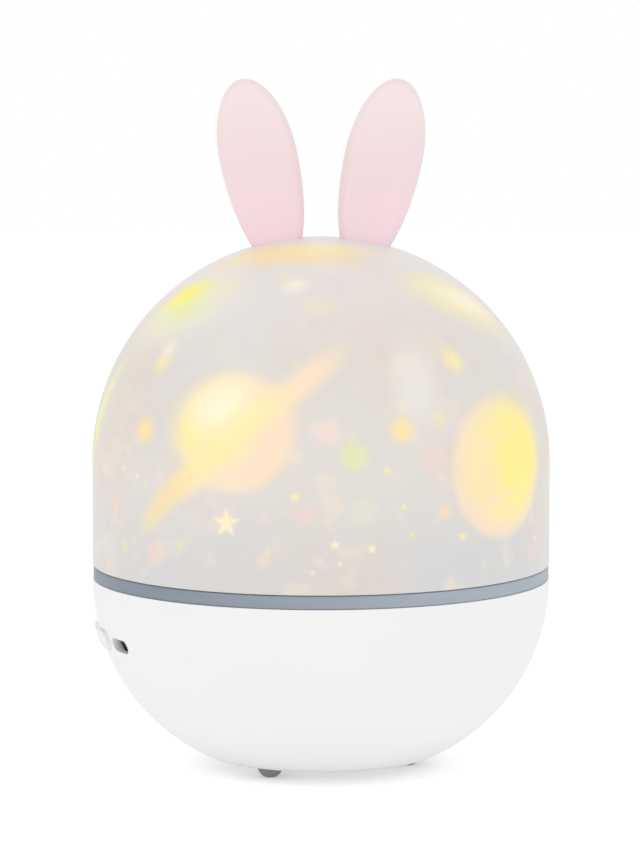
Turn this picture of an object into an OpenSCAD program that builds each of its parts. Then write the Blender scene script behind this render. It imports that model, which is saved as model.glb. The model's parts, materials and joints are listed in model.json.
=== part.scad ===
// Star night light projector with rabbit ears.
// A white bowl holds the battery, the board and a gear motor. The motor turns a clear film dome
// round a fixed light, and a frosted cover with two soft ears lifts off the bowl.
// Millimetres. +Z is up, the ears face -Y, and the origin is on the table under the lamp's axis.

/* [Body] */
// Outer diameter of the lamp
body_d = 130; // [126:1:136]
// Height of the bowl, from its flat underside to its rim
base_h = 50.5; // [50:0.5:55]
// Diameter of the bowl's flat underside
flat_d = 66; // [64:1:74]
// Wall of the bowl
shell_t = 2.5; // [2:0.1:3]
// Floor of the bowl
floor_t = 2.5; // [2:0.1:3.5]
// Straight lip above the bowl's curve
lip_h = 0.6; // [0.4:0.1:2]

/* [Feet] */
// Height of the feet below the bowl
foot_h = 3.7; // [2.5:0.1:4]
// Diameter of a foot
foot_d = 7.4; // [7:0.2:9]
// Diameter of the flat tip of a foot
foot_tip_d = 3; // [2:0.5:4]
// Distance of the feet and of the case screws from the axis
foot_ring_r = 25; // [24:0.5:26]

/* [Trim ring] */
// Height of the trim ring
ring_h = 3.8; // [3:0.1:5]
// How far the ring lies inside the body's outline
ring_inset = 0.2; // [0.1:0.1:0.6]
// Bevel along the ring's outer edges
ring_bevel = 0.35; // [0.2:0.05:0.8]

/* [Dome cover] */
// Height of the cover's straight wall
wall_h = 29.4; // [26:0.2:36]
// Height of the cover's crown
crown_h = 63.6; // [60:0.2:66]
// How much less the shoulder's radius is than the crown's rise
crown_ease = 0.2; // [0.1:0.1:2]
// Wall of the cover
cover_t = 2; // [1.6:0.1:2.4]
// Play between the cover and the collar it slips over
cover_play = 0.3; // [0.2:0.05:0.4]
// Shadow gap between the cover and the trim ring
seat_gap = 0.15; // [0.05:0.05:0.3]

/* [Ears] */
// Width of an ear
ear_w = 22; // [18:0.5:24]
// Thickness of an ear
ear_t = 9; // [7:0.5:11]
// Length of an ear from its widest place to its tip
ear_upper = 23.3; // [20:0.1:28]
// Length of the curve from the widest place towards the dome
ear_lower = 32.5; // [29:0.5:38]
// Height of the widest place along the ear, above the dome
ear_waist = 24; // [20:0.5:26]
// Lean of an ear away from upright, in degrees
ear_lean = 12.6; // [8:0.2:16]
// Distance of an ear's root from the middle
ear_x = 12.4; // [12:0.2:15]
// Width of the tongue that holds the ear in its slot
tongue_w = 9; // [7:0.5:10]
// Thickness of that tongue
tongue_t = 3.4; // [2.5:0.1:4]
// Length of the barb inside the dome, along the slot
barb_w = 12; // [11:0.5:13]

/* [Controls] */
// Direction of the middle of the controls, in degrees from the front round to the left
control_turn = 95; // [80:1:110]
// Height of the controls above the table
control_z = 38.4; // [37.6:0.1:39]
// Width of a button
button_w = 11; // [9:0.5:11.5]
// Height of a button
button_h = 4.8; // [4:0.1:5.6]
// Gap between two buttons
button_gap = 2.7; // [2.2:0.1:3.2]
// How far a button stands out of the bowl
button_proud = 1.1; // [1:0.1:2]
// Travel of a button
button_travel = 1; // [0.6:0.1:1.2]
// Play round a button in its hole
button_play = 0.2; // [0.15:0.05:0.3]
// Wall between the last button's hole and the charging port, on the outside
port_gap = 3.4; // [2:0.1:4]
// Width of the port's opening in the bowl
port_w = 10.2; // [9.6:0.1:10.6]
// Height of the port's opening in the bowl
port_h = 3.8; // [3.5:0.1:4.4]

/* [Collar and deck] */
// Height of the collar that the cover slips over
collar_h = 6; // [5:0.5:9]
// Thickness of the collar
collar_t = 1.8; // [1.4:0.1:2.2]
// Thickness of the deck
deck_t = 2.2; // [1.8:0.1:2.4]
// Width of the ring's edge that the deck clamps
ring_grip = 2; // [1.6:0.1:2.4]
// Room between the pinion's teeth and the wall of the gear well
well_gap = 1.6; // [1:0.1:3]

/* [Gears] */
// Module of both gears
gear_m = 0.8; // [0.76:0.01:0.81]
// Teeth of the turntable's gear
table_teeth = 72; // [64:4:72]
// Teeth of the motor's pinion
pinion_teeth = 18; // [18:2:20]
// Face width of the gears
gear_w = 4; // [3.4:0.1:4.2]
// Thinning of each tooth at the pitch circle
backlash = 0.14; // [0.1:0.02:0.2]
// Running play between the turntable's hub and its boss
hub_play = 0.1; // [0.05:0.01:0.15]
// Radius of the boss that the turntable runs on
boss_r = 9.8; // [9.4:0.1:10.2]

/* [Film dome] */
// Height of the film dome's straight wall
film_wall_h = 14; // [10:0.5:20]
// Height of the film dome's crown
film_crown_h = 48; // [44:0.5:52]
// How much less its shoulder's radius is than its crown's rise
film_ease = 2.3; // [1:0.1:4]
// Wall of each clear shell
clear_t = 1; // [0.8:0.1:1.2]
// Thickness of the printed film
film_t = 0.3; // [0.2:0.05:0.4]
// Gap on each side of the film
film_gap = 0.2; // [0.15:0.05:0.3]
// Thickness of the turntable's plate
plate_t = 2.2; // [1.8:0.1:2.6]

/* [Light] */
// Height of the light's post above the deck's boss
post_h = 17; // [12:1:22]
// Outer radius of the post
post_r = 6; // [5:0.2:6]
// Radius of the light's board
lamp_board_r = 9; // [8.8:0.1:9.4]
// Thickness of the light's board
lamp_board_t = 1.2; // [1:0.1:1.6]
// Outer radius of the clear lens over the lights
lens_r = 6; // [5.6:0.1:6.2]

/* [Motor] */
// Diameter of the motor's can
can_d = 24; // [20:0.5:25]
// Height of the motor's can
can_h = 12; // [8:0.5:13]
// Height of the gearbox on the can
gearbox_h = 8; // [7:0.5:8.5]
// Diameter of the output shaft
shaft_d = 4; // [3:0.1:4.4]
// Direction of the motor from the lamp's axis, in degrees from the side away from the controls
motor_turn = 50; // [46:1:54]

/* [Battery and board] */
// Diameter of the battery
cell_d = 18.4; // [16:0.2:18.6]
// Length of the battery
cell_l = 65; // [55:1:66]
// Distance of the battery from the axis, away from the controls
cell_x = 6; // [5:0.5:8]
// Thickness of the board
board_t = 1.6; // [1.2:0.1:1.6]

/* [Hidden] */
$fn = 96;
tiny = 0.01;

// Body outline
body_r = body_d / 2;
flat_r = flat_d / 2;
flat_z = foot_h;
rim_z = flat_z + base_h;
ring_top = rim_z + ring_h;
cover_z = ring_top + seat_gap;
top_z = ring_top + wall_h + crown_h;
floor_z = flat_z + floor_t;
bowl_rise = base_h - lip_h;
bowl_arc_r = (pow(body_r - flat_r, 2) + bowl_rise * bowl_rise) / (2 * (body_r - flat_r));
bowl_arc = [body_r - bowl_arc_r, rim_z - lip_h];

// Crowns: the arcs rise no more than this short of a dome's radius, and the wall takes the rest
crown_short = 1.4;
shoulder_steps = 24;
cap_steps = 8;
function crown_rise(r, h) = min(h, r - crown_short);
function shoulder_radius(r, h, ease) = crown_rise(r, h) - ease;
function cap_radius(r, h, ease) =
    let (rise = crown_rise(r, h), side_r = shoulder_radius(r, h, ease))
    pow(r - side_r, 2) / (2 * (rise - side_r)) + (rise + side_r) / 2;
cover_cap_r = cap_radius(body_r, crown_h, crown_ease);

// Collar, ring and deck
collar_r = body_r - cover_t - cover_play;
ring_in_r = collar_r - ring_grip;
fit_gap = 0.2;
skirt_r = ring_in_r - fit_gap;
skirt_t = 1.8;
flange_t = 2;
deck_z = rim_z;
deck_top = deck_z + deck_t;
lip_t = 1.3;
lip_drop = 2.5;

// Ears
ear_foot = -4;
barb_gap = 0.8;
barb_h = 1.8;
barb_side = 1.2;
ear_sides = 28;
ear_steps = 12;
ear_oval = 0.8;
ear_point = 0.55;

// Gears
table_pitch_r = gear_m * table_teeth / 2;
pinion_pitch_r = gear_m * pinion_teeth / 2;
shaft_r0 = table_pitch_r + pinion_pitch_r;
addendum = 0.9 * gear_m;
dedendum = 1.25 * gear_m;
pressure = 20;
well_r = shaft_r0 + pinion_pitch_r + addendum + well_gap;

// Turntable
table_gap = 1.2;
table_z = deck_top + table_gap;
table_top = table_z + plate_t;
rim_gap = 0.5;
film_seat_gap = 0.2;
lug_reach = 1.1;
lug_h = 1.5;
lug_turn = 9;
rim_wall = 0.9;
rim_out_r = skirt_r - skirt_t - rim_gap;
rim_in_r = rim_out_r - rim_wall - lug_reach;
film_r = rim_in_r - film_seat_gap;
rim_lip = 1.5;
window_r = 9;
window_step = 45;
small_window_r = 3.2;
web = 3;
rim_top = table_top + lug_h + 2 * fit_gap + rim_lip;
lugs = 3;
gear_clear = 1.4;
well_top = table_z - gear_w - gear_clear;
well_z = well_top - deck_t;
well_wall = 2.2;

// Hub and boss
hub_bore_r = boss_r + hub_play;
hub_wall = 3;
hub_r = hub_bore_r + hub_wall;
thrust_gap = 0.1;
thrust_z = table_z - gear_w - 0.3;
hub_z = thrust_z + thrust_gap;
hub_top = table_top + 1.1;
boss_top = hub_top + 0.3;
boss_bore_r = boss_r - 3.3;

// Light
post_flange_t = 2;
post_flange_r = boss_r + 2.7;
post_screw_r = 0.8;
post_pilot_r = 0.85;
post_hole_r = 1.1;
lens_screw_r = 0.75;
lens_pilot_r = 0.8;
lens_hole_r = 0.95;
lens_screw_x = lens_r + 1.8;
lamp_flange_t = 4;
post_bore_r = post_r - 2.5;
lamp_z = boss_top + post_h;
lamp_flange_r = lamp_board_r + 0.5;
lens_t = 0.8;
lens_flange_t = 1;
lens_z = lamp_z + lamp_board_t;
chip = 2.8;
chip_h = 0.9;
chip_step = 3.2;

// Motor
base_turn = 90 - control_turn;
motor_at = [shaft_r0, 0, 0];
gearbox_r = can_d / 2 + 0.5;
gearbox_top = well_z;
can_top = gearbox_top - gearbox_h;
motor_ear_r = 3.2;
motor_ear_t = 2.5;
motor_screw_x = gearbox_r + 0.6;
motor_screw_r = 1;
motor_hole_r = 1.15;
motor_pilot_r = 1.05;
motor_head_r = 2;
motor_head_sunk = 0.6;
terminal_t = 1.5;
terminal_w = 6;
terminal_h = 4;
terminal_up = 2;
bearing_r = 4;
bearing_h = 0.8;
shaft_r = shaft_d / 2;
shaft_flat = 0.75 * shaft_r;
shaft_play = 0.06;
shaft_sunk = 5;
pinion_z = well_top + 0.7;
shaft_hole_r = shaft_r + 1.4;

// Case screws, under the feet
case_screw_r = 1.45;
case_head_r = 2.6;
case_head_h = 1.8;
case_hole_r = 1.65;
case_pilot_r = 1.5;
case_boss_r = 4.4;
case_boss_top = floor_z + 3.8;
foot_sunk = 0.5;
foot_play = 0.1;
head_play = 0.3;
panel_sunk = 0.5;
panel_r = foot_ring_r - foot_d / 2 - 3;
case_head_top = flat_z + foot_sunk + head_play + case_head_h;
case_screw_l = 13;
pillar_r = 3.5;
foot_turns = [0, 120, 240];

// Controls
cut_in = 6;
cut_l = 20;
usb_w = 8.9;
usb_h = 3.2;
usb_l = 7.3;
usb_wall = 0.3;
usb_back = 1;
mouth_gap = 0.2;
control_r = bowl_r_at(control_z);
wall_in_r = control_r - shell_t;
usb_mouth_r = wall_reach(usb_w, usb_h) - mouth_gap;
button_pitch = (button_w + button_gap) / control_r * 180 / PI;
button_turns = [for (k = [-1.5:1:1.5]) 180 + k * button_pitch];
port_turn = 1.5 * button_pitch + (button_w / 2 + port_gap + port_w / 2) / control_r * 180 / PI;
button_flange = 0.55;
button_flange_t = 1;
button_back_gap = 0.3;
button_back_r = wall_reach(button_w + 2 * button_flange, button_h + 2 * button_flange) - button_back_gap;
button_flange_r = button_back_r - button_flange_t;
stem_r = 1;
stem_in = 0.8;
switch_size = [6, 3.4, 3.6];
switch_mouth_r = button_flange_r - button_travel - 0.4;
switch_bore_r = stem_r + 0.15;
switch_bore_l = button_travel + stem_in + 0.4;

// Board
board_top = control_z - usb_h / 2;
board_z = board_top - board_t;
board_edge_x = 2;
board_reach = switch_mouth_r;
board_r = board_reach - 7;
board_wing = 38;
board_post_r = 3;
board_post_turn = 120;
board_posts = [for (a = [-board_post_turn, board_post_turn, 180]) polar(board_r - 2 * board_post_r, a)];
board_screw_r = 1;
board_pilot_r = 1.05;
board_pilot_l = 8;

// Battery
pad_t = 2.6;
cell_z = floor_z + pad_t + cell_d / 2;
nub_r = 3;
nub_h = 1;
pad_size = [12, 40];

// Leads: each route's points are chosen by hand, in the frame of the base
lead_d = 1.4;
lead_step = 2.2;
plug_size = [4.6, 6, 5];
plug_spots = [[-9.5, 8.5], [-9.5, -2.2], [-9.5, -12.5]];
plug_face_x = plug_spots[0][0] + plug_size[0] / 2;
plug_wire_z = board_top + 3;

// ---- Shared shapes ----

// Outer radius of the bowl at a height on its curve
function bowl_r_at(z) = bowl_arc[0] + sqrt(bowl_arc_r * bowl_arc_r - pow(bowl_arc[1] - z, 2));

// Radius of the bowl's inner face at a height
function bowl_in_at(z) = bowl_arc[0] + sqrt(pow(bowl_arc_r - shell_t, 2) - pow(bowl_arc[1] - z, 2));

// Distance from the axis at which a flat face w wide and h high, centred on the controls' height,
// comes to lie against the inside of the bowl
function wall_reach(w, h) = sqrt(pow(bowl_in_at(control_z - h / 2), 2) - w * w / 4);

function polar(r, a) = [r * cos(a), r * sin(a)];
function unit(v) = v / norm(v);

// Half section of the bowl's outline, drawn in by inset (out, if negative), from z_low to z_high
module bowl_half(inset, z_low, z_high) {
    intersection() {
        translate([0, z_low]) square([2 * body_r, z_high - z_low]);
        union() {
            intersection() {
                translate(bowl_arc) circle(r = bowl_arc_r - inset);
                translate([bowl_arc[0], bowl_arc[1] - 2 * body_r]) square([2 * body_r, 2 * body_r]);
            }
            translate([0, bowl_arc[1] - 2 * body_r]) square([bowl_arc[0], 2 * body_r]);
            translate([0, bowl_arc[1]]) square([body_r - inset, 2 * body_r]);
        }
    }
}

// Half section of a dome from z0 up: a straight wall under a crown h high, of two arcs, that ends at z1
module dome_half(r, z0, z1, h, ease, inset) {
    cap_r = cap_radius(r, h, ease);
    side_r = shoulder_radius(r, h, ease);
    side = [r - side_r, z1 - crown_rise(r, h)];
    cap = [0, z1 - cap_r];
    way = side - cap;
    turn = atan2(way[1], way[0]);
    polygon(concat(
        [[0, z0], [r - inset, z0]],
        [for (k = [0:shoulder_steps]) side + polar(side_r - inset, turn * k / shoulder_steps)],
        [for (k = [1:cap_steps]) cap + polar(cap_r - inset, turn + (90 - turn) * k / cap_steps)]));
}

module cover_half(inset) {
    dome_half(body_r, cover_z, top_z, crown_h, crown_ease, inset);
}

module film_half(inset) {
    dome_half(film_r, table_top, table_top + film_wall_h + film_crown_h, film_crown_h, film_ease, inset);
}

// A closed shell between two insets of the film dome's outline
module film_layer(outer, inner) {
    rotate_extrude() difference() {
        film_half(outer);
        film_half(inner);
    }
}

// A slot with round ends, w wide and h high
module pill(w, h) {
    square([w - h, h], center = true);
    for (s = [-1, 1]) translate([s * (w - h) / 2, 0]) circle(d = h);
}

// The frame of the base: its controls lie along -X
module in_base() {
    rotate([0, 0, base_turn]) children();
}

// On the bowl's wall at a turn and a height: x runs along the wall, y up and z outwards
module at_wall(turn) {
    rotate([0, 0, turn]) translate([0, 0, control_z]) rotate([90, 0, 90]) children();
}

module ring_of(turns, r) {
    for (a = turns) rotate([0, 0, a]) translate([r, 0, 0]) children();
}

module tube(r_out, r_in, z0, z1) {
    translate([0, 0, z0]) difference() {
        cylinder(r = r_out, h = z1 - z0);
        translate([0, 0, -1]) cylinder(r = r_in, h = z1 - z0 + 2);
    }
}

// A pan-head screw that points down from the underside of its head at z = 0
module screw(r, l, head_r, head_h) {
    difference() {
        union() {
            cylinder(r = head_r, h = head_h);
            translate([0, 0, -l]) cylinder(r = r, h = l + tiny);
        }
        for (a = [0, 90]) rotate([0, 0, a]) translate([0, 0, head_h])
            cube([1.3 * head_r, 0.28 * head_r, head_h], center = true);
    }
}

// Involute spur gear outline. Tooth 0 is centred on +X.
function inv(a) = tan(a) * 180 / PI - a;
function flank(r, base_r, half) = half - (r > base_r ? inv(acos(base_r / r)) : 0);
function gear_points(teeth) =
    let (pitch_r = gear_m * teeth / 2,
         base_r = pitch_r * cos(pressure),
         tip_r = pitch_r + addendum,
         root_r = pitch_r - dedendum,
         low_r = max(root_r, base_r),
         half = (90 / teeth) - backlash / pitch_r * 90 / PI + inv(pressure),
         side = concat([root_r], [for (k = [0:3]) low_r + tiny + (tip_r - low_r - tiny) * k / 3]))
    [for (i = [0:teeth - 1], k = [0:9])
        let (r = k < 5 ? side[k] : side[9 - k],
             a = flank(r, base_r, half))
        polar(r, i * 360 / teeth + (k < 5 ? -a : a))];

// A round lead swept along points, with square ends
function smooth_route(p) =
    [for (i = [0:len(p) - 2], k = [0:3])
        let (a = p[max(i - 1, 0)], b = p[i], c = p[i + 1], d = p[min(i + 2, len(p) - 1)], t = k / 4)
        0.5 * (2 * b + (c - a) * t + (2 * a - 5 * b + 4 * c - d) * t * t
               + (3 * b - a - 3 * c + d) * t * t * t)];
function with_end(p) = concat(smooth_route(p), [p[len(p) - 1]]);
function side_of(t) = unit(cross(t, abs(t[1]) < 0.9 ? [0, 1, 0] : [1, 0, 0]));
module lead(route, r) {
    p = with_end(route);
    n = len(p);
    sides = 8;
    rings = [for (i = [0:n - 1])
        let (t = i == 0 ? unit(route[1] - route[0])
                 : i == n - 1 ? unit(route[len(route) - 1] - route[len(route) - 2])
                 : unit(p[i + 1] - p[i - 1]),
             u = side_of(t), v = cross(t, u))
        for (k = [0:sides - 1]) p[i] + r * (cos(k * 360 / sides) * u + sin(k * 360 / sides) * v)];
    skin = [for (i = [0:n - 2], k = [0:sides - 1])
        let (a = i * sides + k, b = i * sides + (k + 1) % sides)
        each [[a, b, b + sides], [a, b + sides, a + sides]]];
    ends = [[for (k = [0:sides - 1]) sides - 1 - k], [for (k = [0:sides - 1]) (n - 1) * sides + k]];
    polyhedron(points = rings, faces = concat([for (f = skin) [f[2], f[1], f[0]]],
        [for (f = ends) [for (k = [len(f) - 1:-1:0]) f[k]]]));
}

// ---- Base ----

module port_hole() {
    at_wall(180 + port_turn) translate([0, 0, wall_in_r - cut_in]) linear_extrude(cut_l)
        pill(port_w, port_h);
}

module button_holes() {
    for (a = button_turns) at_wall(a) translate([0, 0, wall_in_r - cut_in]) linear_extrude(cut_l)
        pill(button_w + 2 * button_play, button_h + 2 * button_play);
}

module bowl_shell() color("white") in_base() difference() {
    union() {
        rotate_extrude() difference() {
            bowl_half(0, flat_z, rim_z);
            bowl_half(shell_t, floor_z, rim_z + 1);
        }
        ring_of(foot_turns, foot_ring_r) translate([0, 0, floor_z - 1])
            cylinder(r = case_boss_r, h = case_boss_top - floor_z + 1);
        intersection() {
            for (p = board_posts) translate(p) cylinder(r = board_post_r, h = board_z);
            rotate_extrude() bowl_half(shell_t / 2, flat_z + 1, rim_z);
        }
    }
    ring_of(foot_turns, foot_ring_r) {
        translate([0, 0, flat_z - 1]) cylinder(r = foot_d / 2 + foot_play, h = foot_sunk + 1);
        translate([0, 0, flat_z]) cylinder(r = case_head_r + head_play, h = case_head_top - flat_z);
        translate([0, 0, flat_z]) cylinder(r = case_hole_r, h = case_boss_top);
    }
    for (p = board_posts) translate([p[0], p[1], board_z - board_pilot_l])
        cylinder(r = board_pilot_r, h = board_pilot_l + 1);
    translate([0, 0, flat_z - 1]) cylinder(r = panel_r, h = 1 + panel_sunk);
    port_hole();
    button_holes();
}

module trim_ring() color("lightslategray") {
    r = body_r - ring_inset;
    b = ring_bevel;
    lip_r = body_r - shell_t - fit_gap;
    rotate_extrude() polygon([
        [ring_in_r, rim_z], [lip_r - lip_t, rim_z], [lip_r - lip_t, rim_z - lip_drop],
        [lip_r, rim_z - lip_drop], [lip_r, rim_z], [r - b, rim_z], [r, rim_z + b],
        [r, ring_top - b], [r - b, ring_top], [ring_in_r, ring_top]
    ]);
}

module top_deck() color("whitesmoke") in_base() difference() {
    union() {
        rotate_extrude() polygon([
            [boss_bore_r, well_z], [well_r + well_wall, well_z], [well_r + well_wall, deck_z],
            [skirt_r, deck_z], [skirt_r, ring_top], [collar_r, ring_top],
            [collar_r, ring_top + collar_h], [collar_r - collar_t, ring_top + collar_h],
            [collar_r - collar_t, ring_top + flange_t], [skirt_r - skirt_t, ring_top + flange_t],
            [skirt_r - skirt_t, deck_top], [well_r, deck_top], [well_r, well_top],
            [hub_r, well_top], [hub_r, thrust_z], [boss_r, thrust_z], [boss_r, boss_top],
            [boss_bore_r, boss_top]
        ]);
        ring_of(foot_turns, foot_ring_r) translate([0, 0, case_boss_top + 0.1])
            cylinder(r = pillar_r, h = well_z - case_boss_top);
    }
    ring_of(foot_turns, foot_ring_r) translate([0, 0, case_boss_top - 1])
        cylinder(r = case_pilot_r, h = case_screw_l);
    rotate([0, 0, motor_turn]) translate(motor_at) {
        translate([0, 0, well_z - 1]) cylinder(r = shaft_hole_r, h = deck_t + 2);
        for (s = [-1, 1]) translate([0, s * motor_screw_x, 0]) {
            translate([0, 0, well_z - 1]) cylinder(r = motor_hole_r, h = deck_t + 2);
            translate([0, 0, well_top - motor_head_sunk]) cylinder(r = motor_head_r + fit_gap, h = 2);
        }
    }
    for (a = [90, 270]) rotate([0, 0, a]) translate([(boss_bore_r + boss_r) / 2, 0, boss_top - 7])
        cylinder(r = post_pilot_r, h = 8);
}

module rubber_feet() color("dimgray") in_base() {
    r = foot_d / 2;
    tip = foot_tip_d / 2;
    c = (r * r + foot_h * foot_h - tip * tip) / (2 * foot_h);
    ring_of(foot_turns, foot_ring_r) {
        intersection() {
            translate([0, 0, c]) sphere(r = sqrt(tip * tip + c * c));
            cylinder(r = r, h = foot_h);
        }
        translate([0, 0, foot_h - tiny]) cylinder(r = r, h = foot_sunk - 0.05 + tiny);
    }
}

module case_screws() color("silver") in_base() {
    ring_of(foot_turns, foot_ring_r) translate([0, 0, case_head_top]) rotate([180, 0, 0])
        screw(case_screw_r, case_screw_l, case_head_r, case_head_h);
}

// ---- Cover ----

module ear_frame(side) {
    root_z = top_z - cover_cap_r + sqrt(cover_cap_r * cover_cap_r - ear_x * ear_x);
    translate([side * ear_x, 0, root_z]) rotate([0, 0, side > 0 ? 0 : 180]) rotate([0, ear_lean, 0])
        children();
}

module ear_slot(side) {
    ear_frame(side) cube([tongue_w + 2 * fit_gap, tongue_t + 2 * fit_gap, 4 * cover_t], center = true);
}

module dome_cover() color("antiquewhite") difference() {
    rotate([0, 0, 90]) rotate_extrude() difference() {
        cover_half(0);
        translate([0, -tiny]) cover_half(cover_t);
    }
    for (s = [-1, 1]) ear_slot(s);
}

// Half width of an ear at a height above its root: round below its waist, a little pointed above
function ear_half(u) = ear_w / 2 * (u > ear_waist
    ? pow(max(0, 1 - pow((u - ear_waist) / ear_upper, 2)), ear_point)
    : sqrt(1 - pow((u - ear_waist) / ear_lower, 2)));
// One level of the ear: an oval that is squarer than an ellipse
function ear_level(u) =
    let (a = ear_half(u), b = a * ear_t / ear_w * (1 + 0.2 * (1 - a / (ear_w / 2))))
    [for (k = [0:ear_sides - 1]) let (c = cos(k * 360 / ear_sides), s = sin(k * 360 / ear_sides))
        [a * sign(c) * pow(abs(c), ear_oval), b * sign(s) * pow(abs(s), ear_oval), u]];
ear_levels = concat(
    [for (i = [0:ear_steps - 1]) ear_foot + (ear_waist - ear_foot) * i / ear_steps],
    [for (i = [0:ear_steps - 1]) ear_waist + ear_upper * sin(i * 91.2 / ear_steps)]);

module ear_blade() {
    levels = [for (u = ear_levels) ear_level(u)];
    n = len(levels);
    points = concat([[0, 0, ear_foot]], [for (l = levels) each l], [[0, 0, ear_waist + ear_upper]]);
    last = len(points) - 1;
    round_ear = [0:ear_sides - 1];
    faces = concat(
        [for (k = round_ear) [0, 1 + k, 1 + (k + 1) % ear_sides]],
        [for (i = [0:n - 2], k = round_ear)
            let (a = 1 + i * ear_sides + k, b = 1 + i * ear_sides + (k + 1) % ear_sides)
            each [[a, a + ear_sides, b + ear_sides], [a, b + ear_sides, b]]],
        [for (k = round_ear) [last, last - ear_sides + (k + 1) % ear_sides, last - ear_sides + k]]);
    polyhedron(points = points, faces = faces);
}

module ear(side) color("mistyrose") {
    difference() {
        ear_frame(side) ear_blade();
        rotate_extrude() cover_half(0);
    }
    ear_frame(side) {
        translate([-tongue_w / 2, -tongue_t / 2, -cover_t - barb_gap])
            cube([tongue_w, tongue_t, cover_t + 4]);
        translate([-barb_w / 2, -tongue_t / 2 - barb_side, -cover_t - barb_gap - barb_h])
            cube([barb_w, tongue_t + 2 * barb_side, barb_h + tiny]);
    }
}

module left_ear() ear(-1);
module right_ear() ear(1);

// ---- Turntable and film ----

module turntable() color("gainsboro") in_base() difference() {
    union() {
        translate([0, 0, table_z - gear_w]) linear_extrude(gear_w + tiny)
            rotate([0, 0, motor_turn]) polygon(gear_points(table_teeth));
        translate([0, 0, table_z]) cylinder(r = rim_out_r, h = plate_t);
        tube(rim_out_r, rim_in_r, table_top - tiny, rim_top);
        translate([0, 0, hub_z]) cylinder(r = hub_r, h = hub_top - hub_z);
    }
    translate([0, 0, hub_z - 1]) cylinder(r = hub_bore_r, h = hub_top - hub_z + 2);
    tube(table_pitch_r - dedendum - web, hub_r, table_z - gear_w - 1, table_z);
    ring_of([0:window_step:359], (table_pitch_r + addendum + rim_in_r) / 2) translate([0, 0, table_z - 1])
        cylinder(r = window_r, h = plate_t + 2);
    ring_of([window_step / 2:window_step:359], (hub_r + table_pitch_r) / 2 - 2)
        translate([0, 0, table_z - 1]) cylinder(r = small_window_r, h = plate_t + 2);
    for (k = [0:lugs - 1]) rotate([0, 0, k * 360 / lugs]) {
        lug_room(-lug_turn / 2 - 1, lug_turn / 2 + 1, lug_h + 2 * fit_gap);
        lug_room(lug_turn / 2, 3 * lug_turn / 2 + 2, rim_top);
    }
}

// The space that a lug of the film dome needs in the turntable's rim
module lug_room(from, to, h) {
    intersection() {
        tube(rim_in_r + lug_reach, film_r - clear_t, table_top, table_top + h);
        wedge(from, to);
    }
}

module wedge(from, to) {
    far = 2 * body_r;
    linear_extrude(2 * top_z) polygon([[0, 0], polar(far, from), polar(far, to)]);
}

module inner_film_dome() color("azure") {
    film_layer(clear_t + film_t + 2 * film_gap, 2 * clear_t + film_t + 2 * film_gap);
}

module projection_film() color("slateblue") {
    film_layer(clear_t + film_gap, clear_t + film_gap + film_t);
}

module outer_film_dome() color("lightcyan") in_base() {
    film_layer(0, clear_t);
    for (k = [0:lugs - 1]) rotate([0, 0, k * 360 / lugs]) intersection() {
        tube(film_r + lug_reach, film_r - clear_t / 2, table_top + fit_gap, table_top + fit_gap + lug_h);
        wedge(-lug_turn / 2, lug_turn / 2);
    }
}

// ---- Light ----

module led_post() color("whitesmoke") in_base() difference() {
    union() {
        tube(post_flange_r, post_bore_r, boss_top, boss_top + post_flange_t);
        tube(post_r, post_bore_r, boss_top, lamp_z - tiny);
        tube(lamp_flange_r, post_bore_r, lamp_z - lamp_flange_t, lamp_z);
    }
    for (a = [90, 270]) rotate([0, 0, a]) {
        translate([(boss_bore_r + boss_r) / 2, 0, boss_top - 1])
            cylinder(r = post_hole_r, h = post_flange_t + 2);
        translate([lens_screw_x, 0, lamp_z - lamp_flange_t + 0.4]) cylinder(r = lens_pilot_r, h = 4);
    }
}

module post_screws() color("silver") in_base() {
    ring_of([90, 270], (boss_bore_r + boss_r) / 2) translate([0, 0, boss_top + post_flange_t])
        screw(post_screw_r, post_flange_t + 5, 1.6, 1.1);
}

module led_board() color("ivory") in_base() difference() {
    translate([0, 0, lamp_z]) cylinder(r = lamp_board_r, h = lamp_board_t);
    ring_of([90, 270], lens_screw_x) translate([0, 0, lamp_z - 1]) cylinder(r = lens_hole_r - 0.05, h = 4);
    for (s = [-1, 1]) translate([0, s * lead_step / 2, lamp_z - 1]) cylinder(r = lead_d / 2 + 0.1, h = 1.6);
}

module led_chips() color("gold") in_base() {
    for (x = [-1, 1], y = [-1, 1])
        translate([x * chip_step / 2, y * chip_step / 2, lens_z + chip_h / 2])
            cube([chip, chip, chip_h], center = true);
}

module led_lens() color("aliceblue") in_base() difference() {
    union() {
        translate([0, 0, lens_z]) cylinder(r = lamp_flange_r, h = lens_flange_t);
        translate([0, 0, lens_z]) cylinder(r = lens_r, h = 2);
        translate([0, 0, lens_z + 2]) intersection() {
            sphere(r = lens_r);
            cylinder(r = lens_r + 1, h = lens_r + 1);
        }
    }
    translate([0, 0, lens_z - 1]) cylinder(r = lens_r - lens_t, h = 3);
    translate([0, 0, lens_z + 2]) sphere(r = lens_r - lens_t);
    ring_of([90, 270], lens_screw_x) translate([0, 0, lens_z - 1]) cylinder(r = lens_hole_r, h = 4);
}

module lens_screws() color("silver") in_base() {
    ring_of([90, 270], lens_screw_x) translate([0, 0, lens_z + lens_flange_t])
        screw(lens_screw_r, lens_flange_t + lamp_board_t + 2.6, 1.4, 0.9);
}

// ---- Motor ----

module at_motor() {
    in_base() rotate([0, 0, motor_turn]) translate(motor_at) children();
}

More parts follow.
